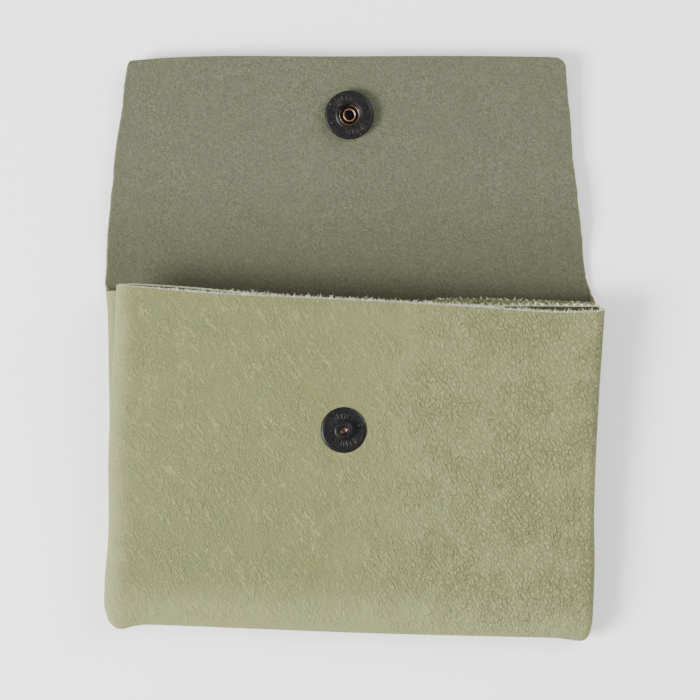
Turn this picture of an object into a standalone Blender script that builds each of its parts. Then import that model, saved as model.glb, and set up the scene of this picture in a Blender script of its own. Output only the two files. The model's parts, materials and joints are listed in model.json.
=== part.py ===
"""A folded leather card holder with a snap flap.

One sheet of leather is folded without stitches. The back panel and the front panel each have two wings
folded in over them, a bottom fold joins the two, and a flap runs on from the back panel's mouth. A snap
holds the flap shut over the front panel.

The holder lies on its back with the flap open: X runs along the flap's crease, Y towards the flap's tip and
Z up through the thickness. The flexible sheet is divided at its fold lines into panels, wings and folds.
"""

import math

import bmesh
import bpy
from mathutils import Matrix, Vector

MM = 0.001

# The sheet and the stack, in metres. The stack is a front and a back unit, each a panel with its wings.
LEATHER = 1.0 * MM
POCKET_GAP = 0.9 * MM
MIDDLE_GAP = 0.6 * MM
SEAM = 0.3 * MM
UNIT = 2 * LEATHER + POCKET_GAP
BODY = 2 * UNIT + MIDDLE_GAP
FOLD_RADIUS = UNIT / 2

# The flap's crease is FOLD_Y from the origin, and lengths down the body are measured from it.
FOLD_Y = 10.66 * MM
BODY_LENGTH = 65.95 * MM
BOTTOM_SLOPE = math.radians(-0.85)
SPINE = 8.0 * MM
FLAP_TILT = math.radians(3.3)
FRONT_GAPE = math.radians(3.0)

# Half-widths at the crease and at the bottom fold. The front unit sits a little askew on the back unit.
BACK_LEFT = (-50.9 * MM, -49.7 * MM)
BACK_RIGHT = (48.9 * MM, 49.4 * MM)
FRONT_LEFT = (-48.6 * MM, -49.7 * MM)
FRONT_RIGHT = (51.0 * MM, 49.4 * MM)

# The wings' free edges, and how far below the crease each top edge starts.
BACK_WING_LEFT = -15.0 * MM
BACK_WING_RIGHT = 15.0 * MM
FRONT_WING_LEFT = -18.0 * MM
FRONT_WING_RIGHT = 21.0 * MM
BACK_WING_TOP = -0.8 * MM
FRONT_TOP_LEFT = -0.4 * MM
FRONT_TOP_RIGHT = -2.9 * MM

# The flap's free outline above the crease, from its left side over the tip to its right side.
FLAP_LEFT = ((-50.8 * MM, 8.0 * MM), (-49.8 * MM, 22.0 * MM), (-48.2 * MM, 38.0 * MM))
FLAP_CORNERS = ((-47.0 * MM, 46.6 * MM), (42.2 * MM, 48.6 * MM))
FLAP_CORNER_RADII = (0.8 * MM, 1.8 * MM)
FLAP_RIGHT = ((43.4 * MM, 32.0 * MM), (45.0 * MM, 18.5 * MM), (46.4 * MM, 8.0 * MM))
SPINE_RIGHT = 48.2 * MM
SPINE_LEFT = -50.9 * MM

# The snap. The socket and the stud meet when the flap is shut.
SNAP_X = -1.85 * MM
STUD_BELOW = 28.0 * MM
SNAP_GAP = 0.15 * MM
POST_HOLE = 1.45 * MM
CAP_RADIUS = 6.2 * MM
CAP_HEIGHT = 1.9 * MM
SOCKET_RADIUS = 4.95 * MM
SOCKET_HEIGHT = 1.85 * MM
SOCKET_HOLE = 2.15 * MM
STUD_RADIUS = 4.65 * MM
STUD_FLANGE = 0.4 * MM
NIPPLE_RADIUS = 1.9 * MM
NIPPLE_HEIGHT = 1.4 * MM
DIMPLE_RADIUS = 0.95 * MM
POST_RADIUS = 1.15 * MM
EYELET_RADIUS = 3.6 * MM
SPRING_RING = 1.88 * MM
SPRING_WIRE = 0.17 * MM
SPRING_UP = 1.2 * MM
SPRING_OPEN = math.radians(60)

TURN_STEPS = 36
FOLD_STEPS = 10
CORNER_STEPS = 12

GRAIN_COLOUR = (0.36, 0.345, 0.21, 1)
SUEDE_COLOUR = (0.24, 0.25, 0.165, 1)
BLACK_COLOUR = (0.03, 0.03, 0.028, 1)
COPPER_COLOUR = (0.45, 0.22, 0.12, 1)
STEEL_COLOUR = (0.55, 0.5, 0.4, 1)


def clear_scene():
    for thing in list(bpy.data.objects):
        bpy.data.objects.remove(thing, do_unlink=True)


def collection_of(name):
    made = bpy.data.collections.new(name)
    bpy.context.scene.collection.children.link(made)
    return made


def material(name, colour, roughness, metallic):
    made = bpy.data.materials.new(name)
    made.use_nodes = True
    shader = made.node_tree.nodes["Principled BSDF"]
    shader.inputs["Base Color"].default_value = colour
    shader.inputs["Roughness"].default_value = roughness
    shader.inputs["Metallic"].default_value = metallic
    made.diffuse_color = colour
    return made


def place(thing, parent, coat, where=(0, 0, 0)):
    """Put an object in the holder's collection, under its parent and with its own material."""
    HOLDER.objects.link(thing)
    thing.parent = parent
    thing.location = where
    colour, roughness, metallic = coat
    thing.data.materials.append(material(thing.name, colour, roughness, metallic))
    return thing


def empty(name, parent, where=(0, 0, 0), turn=(0, 0, 0)):
    made = bpy.data.objects.new(name, None)
    HOLDER.objects.link(made)
    made.parent = parent
    made.location = where
    made.rotation_euler = turn
    return made


GRAIN = (GRAIN_COLOUR, 0.6, 0.0)
SUEDE = (SUEDE_COLOUR, 0.9, 0.0)
BLACK = (BLACK_COLOUR, 0.45, 0.6)
COPPER = (COPPER_COLOUR, 0.35, 1.0)
STEEL = (STEEL_COLOUR, 0.3, 1.0)


def along(ends, below):
    """A side edge's place at a distance below the crease, on the straight line between its two ends."""
    return ends[0] + (ends[1] - ends[0]) * below / BODY_LENGTH


def bottom_at(x):
    """The bottom fold's line at x, as a negative distance from the crease."""
    return x * math.tan(BOTTOM_SLOPE) - BODY_LENGTH


def rounded_corner(before, corner, after, radius, steps=6):
    """Points on the arc of this radius that fits in a corner of an outline."""
    corner = Vector(corner)
    first = (Vector(before) - corner).normalized()
    second = (Vector(after) - corner).normalized()
    half = first.angle(second) / 2
    middle = corner + (first + second).normalized() * radius / math.sin(half)
    start = corner + first * radius / math.tan(half) - middle
    end = corner + second * radius / math.tan(half) - middle
    sweep = start.angle_signed(end)
    return [tuple(middle + Matrix.Rotation(-sweep * i / steps, 2) @ start) for i in range(steps + 1)]


def circle(centre, radius, steps=TURN_STEPS):
    turns = [2 * math.pi * i / steps for i in range(steps)]
    return [(centre[0] + radius * math.cos(t), centre[1] + radius * math.sin(t)) for t in turns]


def flat_sheet(name, outline, low, parent, coat, holes=()):
    """A flat piece of leather: a filled outline, extruded to the leather's thickness from low upwards."""
    curve = bpy.data.curves.new(name, "CURVE")
    curve.dimensions = "2D"
    curve.fill_mode = "BOTH"
    curve.extrude = LEATHER / 2
    for ring in (outline, *holes):
        spline = curve.splines.new("POLY")
        spline.points.add(len(ring) - 1)
        for point, (x, y) in zip(spline.points, ring):
            point.co = (x, y, 0, 1)
        spline.use_cyclic_u = True
    return place(bpy.data.objects.new(name, curve), parent, coat, (0, 0, low + LEATHER / 2))


def swept(name, section, centre, axis, angle, steps, parent, coat):
    """A closed solid: faces given by their corners, joined and swept about an axis."""
    mesh = bpy.data.meshes.new(name)
    form = bmesh.new()
    for corners in section:
        form.faces.new([form.verts.new(corner) for corner in corners])
    bmesh.ops.remove_doubles(form, verts=form.verts[:], dist=1e-6)
    geometry = form.verts[:] + form.edges[:] + form.faces[:]
    bmesh.ops.spin(form, geom=geometry, cent=centre, axis=axis, dvec=(0, 0, 0), angle=angle, steps=steps)
    bmesh.ops.remove_doubles(form, verts=form.verts[:], dist=1e-6)
    bmesh.ops.recalc_face_normals(form, faces=form.faces[:])
    form.to_mesh(mesh)
    form.free()
    return place(bpy.data.objects.new(name, mesh), parent, coat)


def turned(name, profile, parent, coat, where):
    """A round piece: its profile of radius and height, turned about Z. The outer side runs downwards."""
    mesh = bpy.data.meshes.new(name)
    closed = profile[0][0] > 0
    count = len(profile)
    links = [(i, i + 1) for i in range(count - 1)]
    if closed:
        links.append((count - 1, 0))
    mesh.from_pydata([(r, 0, z) for r, z in profile], links, [])
    piece = place(bpy.data.objects.new(name, mesh), parent, coat, where)
    screw = piece.modifiers.new("turn", "SCREW")
    screw.steps = TURN_STEPS
    screw.render_steps = TURN_STEPS
    screw.use_merge_vertices = True
    screw.merge_threshold = 1e-6
    return piece


def side_fold(name, edge, side, low, top, bottom, parent):
    """The bend along a side: from a panel, round the outside and back over it as a wing.

    edge gives the outer line's place at the crease and at the bottom, and side is -1 left or 1 right."""
    first = along(edge, -top)
    last = along(edge, -bottom)
    lean = Vector((last - first, bottom - top, 0)).normalized()
    inset = -side * FOLD_RADIUS
    centre_z = low + FOLD_RADIUS
    rings = []
    for z in (low, low + LEATHER):
        rings.append((Vector((first + inset, top, z)), Vector((last + inset, bottom, z))))
    (a, b), (d, c) = rings
    centre = (first + inset, top, centre_z)
    return swept(name, [(a, b, c, d)], centre, lean * side, math.pi, FOLD_STEPS, parent, GRAIN)


def half_ring(centre_x, side, inner, outer):
    """Quads of a half ring in the plane across the bottom fold, standing on its inner end, as (x, radius)."""
    quads = []
    middle = (inner + outer) / 2
    large = (outer - inner) / 2
    small = large - LEATHER
    for i in range(FOLD_STEPS):
        corners = []
        for size, step in ((large, i), (large, i + 1), (small, i + 1), (small, i)):
            turn = math.pi * step / FOLD_STEPS
            corners.append((centre_x + side * size * math.sin(turn), middle - size * math.cos(turn)))
        quads.append(corners)
    return quads


def bottom_bend(name, quads, parent):
    """A stretch of the bottom fold: a section of (x, radius) swept half a turn, from the back to the front."""
    faces = [[(x, 0, -radius) for x, radius in corners] for corners in quads]
    return swept(name, faces, (0, 0, 0), (-1, 0, 0), math.pi, CORNER_STEPS, parent, GRAIN)


def wing_outline(outer, inner, top, side):
    """A wing from its fold to its free edge, with its lower end on the bottom fold's line."""
    reach = -side * (FOLD_RADIUS + SEAM / 2)
    top_out = (along(outer, -top) + reach, top)
    top_in = (inner, top)
    low_in = (inner, bottom_at(inner) + SEAM / 2)
    low_out = (outer[1] + reach, bottom_at(outer[1]) + SEAM / 2)
    return [top_out, top_in, low_in, low_out]


def build_back(parent):
    inset = FOLD_RADIUS + SEAM / 2
    outline = [
        (BACK_LEFT[0] + inset, -SEAM / 2),
        (BACK_LEFT[1] + inset, bottom_at(BACK_LEFT[1]) + SEAM / 2),
        (BACK_RIGHT[1] - inset, bottom_at(BACK_RIGHT[1]) + SEAM / 2),
        (BACK_RIGHT[0] - inset, -SEAM / 2),
    ]
    flat_sheet("back_panel", outline, 0, parent, GRAIN)
    wing_low = LEATHER + POCKET_GAP
    sides = (("left", BACK_LEFT, BACK_WING_LEFT, -1), ("right", BACK_RIGHT, BACK_WING_RIGHT, 1))
    for word, edge, inner, side in sides:
        bottom = bottom_at(edge[1]) + SEAM / 2
        side_fold("back_fold_" + word, edge, side, 0, BACK_WING_TOP, bottom, parent)
        outline = wing_outline(edge, inner, BACK_WING_TOP, side)
        flat_sheet("back_wing_" + word, outline, wing_low, parent, GRAIN)


def build_bottom(parent):
    """The bottom fold takes the panels round its outside and the wings round its inside."""
    frame = empty("bottom_axis", parent, (0, -BODY_LENGTH, BODY / 2), (0, 0, BOTTOM_SLOPE))
    outer = BODY / 2
    inner = MIDDLE_GAP / 2
    inset = FOLD_RADIUS + SEAM / 2
    left = BACK_LEFT[1] + inset
    right = BACK_RIGHT[1] - inset
    wall = outer - LEATHER
    bottom_bend("bottom_fold", [[(left, wall), (right, wall), (right, outer), (left, outer)]], frame)
    sides = (("left", left, BACK_WING_LEFT, -1), ("right", right, BACK_WING_RIGHT, 1))
    for word, edge, free, side in sides:
        low, high = sorted((edge, free))
        wall = inner + LEATHER
        section = [[(low, inner), (high, inner), (high, wall), (low, wall)]]
        bottom_bend("bottom_wing_fold_" + word, section, frame)
        corner_x = edge + side * SEAM / 2
        bottom_bend("bottom_corner_" + word, half_ring(corner_x, side, inner, outer), frame)


def build_front(parent):
    hole = circle((SNAP_X, -STUD_BELOW), POST_HOLE)
    inset = FOLD_RADIUS + SEAM / 2
    low = UNIT + MIDDLE_GAP
    outline = [
        (FRONT_LEFT[0] + inset, FRONT_TOP_LEFT),
        (FRONT_LEFT[1] + inset, bottom_at(FRONT_LEFT[1]) + SEAM / 2),
        (FRONT_RIGHT[1] - inset, bottom_at(FRONT_RIGHT[1]) + SEAM / 2),
        (FRONT_RIGHT[0] - inset, FRONT_TOP_RIGHT),
    ]
    flat_sheet("front_panel", outline, low + LEATHER + POCKET_GAP, parent, GRAIN, [hole])
    sides = (
        ("left", FRONT_LEFT, FRONT_WING_LEFT, FRONT_TOP_LEFT, -1),
        ("right", FRONT_RIGHT, FRONT_WING_RIGHT, FRONT_TOP_RIGHT, 1),
    )
    for word, edge, inner, top, side in sides:
        bottom = bottom_at(edge[1]) + SEAM / 2
        side_fold("front_fold_" + word, edge, side, low, top, bottom, parent)
        flat_sheet("front_wing_" + word, wing_outline(edge, inner, top, side), low, parent, GRAIN)


def build_flap(spine_frame, flap_frame):
    spine = [
        (SPINE_LEFT, SEAM / 2),
        (SPINE_RIGHT, SEAM / 2),
        (FLAP_RIGHT[-1][0], SPINE - SEAM / 2),
        (FLAP_LEFT[0][0], SPINE - SEAM / 2),
    ]
    flat_sheet("flap_spine", spine, -LEATHER, spine_frame, SUEDE)
    left, right = FLAP_CORNERS
    left_arc = rounded_corner(FLAP_LEFT[-1], left, right, FLAP_CORNER_RADII[0])
    right_arc = rounded_corner(left, right, FLAP_RIGHT[0], FLAP_CORNER_RADII[1])
    outline = [*FLAP_LEFT, *left_arc, *right_arc, *FLAP_RIGHT]
    outline = [(x, max(y - SPINE, SEAM / 2)) for x, y in outline]
    hole = circle((SNAP_X, STUD_BELOW), POST_HOLE)
    flat_sheet("flap", outline, -LEATHER, flap_frame, SUEDE, [hole])


def build_flap_snap(parent):
    """The cap's post goes up through the flap and is spread in the socket's countersunk floor."""
    centre = (SNAP_X, STUD_BELOW, 0)
    top = -LEATHER - SNAP_GAP
    base = -LEATHER - CAP_HEIGHT
    floor_top = 0.5 * MM
    flare = POST_RADIUS + 0.35 * MM
    bore = 0.8 * MM
    cap = [
        (0, top - 0.45 * MM),
        (bore, top - 0.45 * MM),
        (bore, SNAP_GAP),
        (1.0 * MM, floor_top),
        (flare, floor_top),
        (POST_RADIUS, SNAP_GAP),
        (POST_RADIUS, top),
        (CAP_RADIUS - 0.2 * MM, top),
        (CAP_RADIUS, top - 0.2 * MM),
        (CAP_RADIUS, top - 0.5 * MM),
        (CAP_RADIUS - 0.8 * MM, base + 0.5 * MM),
        (CAP_RADIUS - 2.2 * MM, base + 0.1 * MM),
        (CAP_RADIUS - 3.4 * MM, base),
        (0, base),
    ]
    turned("snap_cap", cap, parent, BLACK, centre)
    lip_low = SOCKET_HEIGHT - 0.4 * MM
    groove_low = 0.95 * MM
    socket = [
        (SOCKET_HOLE + 0.2 * MM, SOCKET_HEIGHT),
        (SOCKET_RADIUS - 0.5 * MM, SOCKET_HEIGHT),
        (SOCKET_RADIUS - 0.12 * MM, SOCKET_HEIGHT - 0.2 * MM),
        (SOCKET_RADIUS, SOCKET_HEIGHT - 0.55 * MM),
        (SOCKET_RADIUS - 0.5 * MM, SNAP_GAP),
        (POST_RADIUS + SNAP_GAP, SNAP_GAP),
        (flare + SNAP_GAP, floor_top),
        (SOCKET_HOLE + 0.15 * MM, floor_top),
        (SOCKET_HOLE + 0.15 * MM, groove_low),
        (SOCKET_HOLE + 0.7 * MM, groove_low),
        (SOCKET_HOLE + 0.7 * MM, lip_low),
        (SOCKET_HOLE, lip_low),
        (SOCKET_HOLE, SOCKET_HEIGHT - 0.2 * MM),
    ]
    turned("snap_socket", socket, parent, BLACK, centre)
    curve = bpy.data.curves.new("socket_spring", "CURVE")
    curve.dimensions = "3D"
    curve.bevel_depth = SPRING_WIRE
    curve.bevel_resolution = 2
    curve.use_fill_caps = True
    count = 28
    spline = curve.splines.new("POLY")
    spline.points.add(count - 1)
    for i, point in enumerate(spline.points):
        turn = SPRING_OPEN / 2 + (2 * math.pi - SPRING_OPEN) * i / (count - 1)
        point.co = (SPRING_RING * math.cos(turn), SPRING_RING * math.sin(turn), SPRING_UP, 1)
    place(bpy.data.objects.new("socket_spring", curve), parent, STEEL, centre)


def build_front_snap(parent):
    """The stud on the front panel, and the eyelet behind it whose tube is spread inside the stud."""
    face = BODY
    base = face + SNAP_GAP
    flange = base + STUD_FLANGE
    tip = flange + NIPPLE_HEIGHT
    bore = POST_RADIUS + SNAP_GAP
    stud = [
        (DIMPLE_RADIUS, tip - 0.1 * MM),
        (DIMPLE_RADIUS + 0.15 * MM, tip),
        (NIPPLE_RADIUS - 0.35 * MM, tip),
        (NIPPLE_RADIUS - 0.05 * MM, tip - 0.15 * MM),
        (NIPPLE_RADIUS, tip - 0.3 * MM),
        (NIPPLE_RADIUS - 0.3 * MM, tip - 0.5 * MM),
        (NIPPLE_RADIUS - 0.3 * MM, flange + 0.3 * MM),
        (NIPPLE_RADIUS - 0.1 * MM, flange),
        (STUD_RADIUS - 0.7 * MM, flange),
        (STUD_RADIUS - 0.1 * MM, flange - 0.15 * MM),
        (STUD_RADIUS, flange - 0.25 * MM),
        (STUD_RADIUS, base),
        (bore, base),
        (bore, tip - 0.5 * MM),
        (DIMPLE_RADIUS, tip - 0.35 * MM),
    ]
    centre = (SNAP_X, -STUD_BELOW, 0)
    turned("snap_stud", stud, parent, BLACK, centre)
    inside = face - LEATHER - SNAP_GAP
    top = flange + 0.75 * MM
    post = [
        (0.8 * MM, top),
        (POST_RADIUS, top),
        (POST_RADIUS, inside),
        (EYELET_RADIUS, inside),
        (EYELET_RADIUS, inside - 0.2 * MM),
        (EYELET_RADIUS - 0.15 * MM, inside - 0.3 * MM),
        (POST_RADIUS + 0.2 * MM, inside - 0.3 * MM),
        (0.8 * MM, inside + 0.1 * MM),
    ]
    turned("stud_post", post, parent, COPPER, centre)


def build_holder():
    root = empty("holder_frame", None, (0, FOLD_Y, 0))
    build_back(root)
    build_bottom(root)
    hinge_z = UNIT + MIDDLE_GAP + FOLD_RADIUS
    along_bottom = Matrix.Rotation(BOTTOM_SLOPE, 4, "Z")
    hinge = Matrix.Translation((0, -BODY_LENGTH, hinge_z)) @ along_bottom
    gape = hinge @ Matrix.Rotation(FRONT_GAPE, 4, "X")
    front_axis = empty("front_axis", root)
    front_axis.matrix_local = gape
    front = empty("front_frame", front_axis)
    front.matrix_local = hinge.inverted()
    build_front(front)
    build_front_snap(front)
    spine_axis = empty("spine_axis", root, (0, 0, LEATHER), (FLAP_TILT, 0, 0))
    flap_axis = empty("flap_axis", spine_axis, (0, SPINE, 0))
    build_flap(spine_axis, flap_axis)
    build_flap_snap(flap_axis)


clear_scene()
HOLDER = collection_of("card_holder")
build_holder()
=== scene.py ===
"""The looks of the folded leather card holder: one sheet of leather with a grain side, a suede side and
raw edges, and a press snap.

Lengths are in millimetres in the shape code, and become metres where a mesh is made.
"""

import json
import math

import bpy
import numpy as np
from mathutils import Matrix, Vector


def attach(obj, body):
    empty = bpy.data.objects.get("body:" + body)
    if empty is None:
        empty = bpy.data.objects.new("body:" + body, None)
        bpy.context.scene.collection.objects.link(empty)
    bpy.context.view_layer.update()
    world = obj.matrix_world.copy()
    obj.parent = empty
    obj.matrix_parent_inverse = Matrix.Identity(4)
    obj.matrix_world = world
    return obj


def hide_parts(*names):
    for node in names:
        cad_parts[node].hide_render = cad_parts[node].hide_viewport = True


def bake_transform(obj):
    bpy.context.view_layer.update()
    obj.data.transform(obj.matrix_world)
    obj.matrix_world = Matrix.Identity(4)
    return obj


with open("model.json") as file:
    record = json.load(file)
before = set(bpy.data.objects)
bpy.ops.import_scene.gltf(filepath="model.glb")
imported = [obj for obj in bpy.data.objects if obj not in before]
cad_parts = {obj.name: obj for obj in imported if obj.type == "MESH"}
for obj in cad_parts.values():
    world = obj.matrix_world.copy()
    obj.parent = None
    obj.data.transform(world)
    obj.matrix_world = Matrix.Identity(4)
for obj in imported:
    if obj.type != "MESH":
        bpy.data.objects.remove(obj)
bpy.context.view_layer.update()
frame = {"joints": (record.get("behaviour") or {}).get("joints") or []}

MM = 0.001
JOINTS = {joint["name"]: joint for joint in frame["joints"]}


def millimetres(values):
    return [value / MM for value in values]


# The frame's own places: the creases, the tilt of the open flap and the mouth's hinge.
_, CREASE_Y, CREASE_Z = millimetres(JOINTS["flap_fold"]["pos_m"])
_, TIP_FOLD_Y, TIP_FOLD_Z = millimetres(JOINTS["flap_tip_fold"]["pos_m"])
_, HINGE_Y, HINGE_Z = millimetres(JOINTS["mouth_fold"]["pos_m"])
MOUTH_AXIS = Vector(JOINTS["mouth_fold"]["axis"]).normalized()
TILT = math.atan2(TIP_FOLD_Z - CREASE_Z, TIP_FOLD_Y - CREASE_Y)
SPINE = math.hypot(TIP_FOLD_Z - CREASE_Z, TIP_FOLD_Y - CREASE_Y)
BOTTOM_SLOPE = math.atan2(MOUTH_AXIS.y, MOUTH_AXIS.x)
BODY_LENGTH = CREASE_Y - HINGE_Y

# The sizes shared with the CAD: how far the mouth gapes, the snap's place and the sheet's layers.
GAPE = math.radians(3.0)
STUD_BELOW = 28.0
SNAP_X = -1.85
LEATHER = 1.0
BODY = 6.4
MIDDLE = BODY / 2
UNIT = 2.9
MIDDLE_GAP = BODY - 2 * UNIT
BEND_REACH = 1.6
BACK_FOLDS = (2.1, 2.1)
FRONT_FOLDS = (3.3, 1.7)
BACK_WING_FREE = (-15.0, 15.0)
FRONT_WING_FREE = (-18.0, 21.0)

# The sizes of the looks alone.
SEED = 7
RIM = 0.28
FLAP_INSET = 0.2
HOLE = 1.5
WINGS_BELOW = 0.9
CREASE_EASE = 1.5
SWELL = 0.16
SWELL_SIZE = 19.0
FOLD_STEPS = 12
BACK_ROWS = 66
FRONT_ROWS = 136
SPINE_ROWS = 9
BEND_ROWS = 26
SNAP_STEPS = 96
RING_STEPS = 240
MARK_COUNT = 26
MARK_DEEP = 0.06
SPRING = 2.06
SPRING_WIRE = 0.13
SHARP_EDGE = 50

GRAIN_BASE = (0.126, 0.131, 0.048, 1)
GRAIN_TAN = (0.142, 0.131, 0.048, 1)
GRAIN_GREEN = (0.114, 0.133, 0.05, 1)
GRAIN_LIGHT = (0.194, 0.204, 0.089, 1)
# painted shade for the grain's creases
GRAIN_CREASE_SHADE = (0.074, 0.075, 0.024, 1)
SUEDE_DARK = (0.059, 0.064, 0.037, 1)
SUEDE_LIGHT = (0.113, 0.12, 0.077, 1)
SUEDE_WARM = (0.09, 0.087, 0.056, 1)
SUEDE_COOL = (0.07, 0.079, 0.05, 1)
SUEDE_FLECK = (0.173, 0.181, 0.124, 1)
# painted shade for the suede near the crease and inside the pockets
SUEDE_SHADE = (0.036, 0.037, 0.018, 1)
EDGE_DARK = (0.228, 0.246, 0.152, 1)
EDGE_LIGHT = (0.422, 0.442, 0.299, 1)
RUBBED_DARK = (0.075, 0.070, 0.035, 1)
RUBBED_LIGHT = (0.145, 0.143, 0.085, 1)
FIBRE_LIGHT = (0.702, 0.729, 0.568, 1)


# ---------------------------------------------------------------- curves and noise

def curve_through(points):
    """A smooth function through (place, value) points, with each slope taken from the neighbours."""
    places = np.array([p for p, _ in points], float)
    values = np.array([v for _, v in points], float)
    slopes = np.gradient(values, places)

    def at(x):
        x = np.clip(np.asarray(x, float), places[0], places[-1])
        i = np.clip(np.searchsorted(places, x) - 1, 0, len(places) - 2)
        gap = places[i + 1] - places[i]
        t = (x - places[i]) / gap
        rise = 3 * t**2 - 2 * t**3
        start = (t**3 - 2 * t**2 + t) * gap * slopes[i]
        end = (t**3 - t**2) * gap * slopes[i + 1]
        return values[i] * (1 - rise) + values[i + 1] * rise + start + end

    return at


def smooth(x, low, high):
    t = np.clip((x - low) / (high - low), 0, 1)
    return t * t * (3 - 2 * t)


def hump(x, middle, width):
    return np.exp(-(((x - middle) / width) ** 2))


def scattered(i, j, seed):
    """Two even random numbers for each whole-number place, the same on every run."""
    n = (i.astype(np.int64) * 374761393 + j.astype(np.int64) * 668265263 + seed * 2147483647) & 0xFFFFFFFF
    n = ((n ^ (n >> 13)) * 1274126177) & 0xFFFFFFFF
    m = ((n ^ (n >> 16)) * 2246822519) & 0xFFFFFFFF
    return (n ^ (n >> 16)) % 65536 / 65536.0, (m ^ (m >> 13)) % 65536 / 65536.0


def waves(x, y, size, seed):
    """Soft value noise of that wavelength, from -1 to 1."""
    u, v = x / size, y / size
    i, j = np.floor(u), np.floor(v)
    a, b = u - i, v - j
    a, b = a * a * (3 - 2 * a), b * b * (3 - 2 * b)
    corner = [[scattered(i + p, j + q, seed)[0] for q in (0, 1)] for p in (0, 1)]
    low = corner[0][0] * (1 - b) + corner[0][1] * b
    high = corner[1][0] * (1 - b) + corner[1][1] * b
    return 2 * (low * (1 - a) + high * a) - 1


def pebbles(x, y, size, stretch, angle, seed):
    """How far a point is from the crease round its pebble, as a share of the pebble's size."""
    turn = math.radians(angle)
    u = (x * math.cos(turn) + y * math.sin(turn)) / (size * stretch)
    v = (-x * math.sin(turn) + y * math.cos(turn)) / size
    i, j = np.floor(u), np.floor(v)
    first = np.full(np.shape(u), 9.0)
    second = first.copy()
    for p in (-1, 0, 1):
        for q in (-1, 0, 1):
            a, b = scattered(i + p, j + q, seed)
            far = np.hypot(i + p + a - u, j + q + b - v)
            second = np.minimum(second, np.maximum(first, far))
            first = np.minimum(first, far)
    return second - first


# ---------------------------------------------------------------- outlines
# The side edges give x at a distance from the crease, and the top edges that distance at an x.

BACK_LEFT = curve_through((
    (-65.95, -49.9), (-59, -49.8), (-52, -49.4), (-33, -49.6), (-16, -50.1), (-4, -50.6), (0, -50.95),
    (5, -50.9),
))
BACK_RIGHT = curve_through((
    (-65.95, 49.3), (-33, 49.2), (-10, 49.1), (-2.5, 49.25), (-0.9, 49.05), (0.5, 48.1), (1.8, 47.55),
    (4, 47.0), (5, 46.85),
))
FRONT_LEFT = curve_through((
    (-65.95, -50.0), (-60, -49.9), (-53, -49.4), (-33, -49.5), (-16, -48.9), (0, -48.4), (4, -48.3),
))
FRONT_RIGHT = curve_through((
    (-65.95, 49.4), (-54, 49.6), (-45, 49.3), (-33, 49.4), (-20, 49.8), (-5, 50.5), (0, 50.7),
    (4, 50.7),
))
FRONT_TOP = curve_through((
    (-51, 0.75), (-42.6, 0.35), (-31.6, -0.44), (-9.6, -1.17), (9.1, -1.76), (22.8, -2.34),
    (41.7, -3.2), (51, -2.9),
))
FRONT_WING_TOP_LEFT = curve_through(((-51, 0.8), (-46, 0.85), (-36, 0.5), (-17, -1.0)))
FRONT_WING_TOP_RIGHT = curve_through(((20, -2.6), (30, -2.2), (51, -1.9)))
BACK_WING_TOP_LEFT = curve_through(((-52, -0.4), (-14, -0.8)))
BACK_WING_TOP_RIGHT = curve_through(((14, -2.1), (16, -1.45), (20, -1.1), (35, -1.05), (50, -1.3)))
FLAP_LEFT = curve_through((
    (4, -50.9), (10.6, -50.8), (20, -50.0), (29, -49.3), (37, -48.2), (43, -47.7), (47.6, -47.0),
))
FLAP_RIGHT = curve_through((
    (4, 47.0), (6.4, 46.6), (11.3, 46.0), (18.4, 45.1), (27.5, 43.9), (34.6, 43.2), (42, 42.4),
    (48.6, 41.7),
))
FLAP_TOP = curve_through(((-47.5, 46.0), (-40.6, 46.64), (-4, 47.64), (38.8, 48.24), (42.5, 48.2)))


def bottom_y(x):
    """The line where the bottom fold's bend starts."""
    return HINGE_Y + BEND_REACH + x * math.tan(BOTTOM_SLOPE)


# ---------------------------------------------------------------- meshes

def new_object(name, points, faces, material_of, materials):
    """A smooth-shaded mesh from points in millimetres. material_of gives each face's material by number."""
    mesh = bpy.data.meshes.new(name)
    points = np.asarray(points, float) * MM
    sizes = np.array([len(face) for face in faces], np.int32)
    mesh.vertices.add(len(points))
    mesh.vertices.foreach_set("co", points.astype(np.float32).ravel())
    mesh.loops.add(int(sizes.sum()))
    mesh.loops.foreach_set("vertex_index", np.concatenate([np.asarray(f, np.int32) for f in faces]))
    mesh.polygons.add(len(faces))
    mesh.polygons.foreach_set("loop_start", np.concatenate(([0], np.cumsum(sizes)[:-1])).astype(np.int32))
    mesh.polygons.foreach_set("material_index", np.asarray(material_of, np.int32))
    mesh.update(calc_edges=True)
    mesh.validate()
    for material in materials:
        mesh.materials.append(material)
    mesh.shade_smooth()
    mesh.set_sharp_from_angle(angle=math.radians(SHARP_EDGE))
    made = bpy.data.objects.new(name, mesh)
    bpy.context.scene.collection.objects.link(made)
    return made


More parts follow.
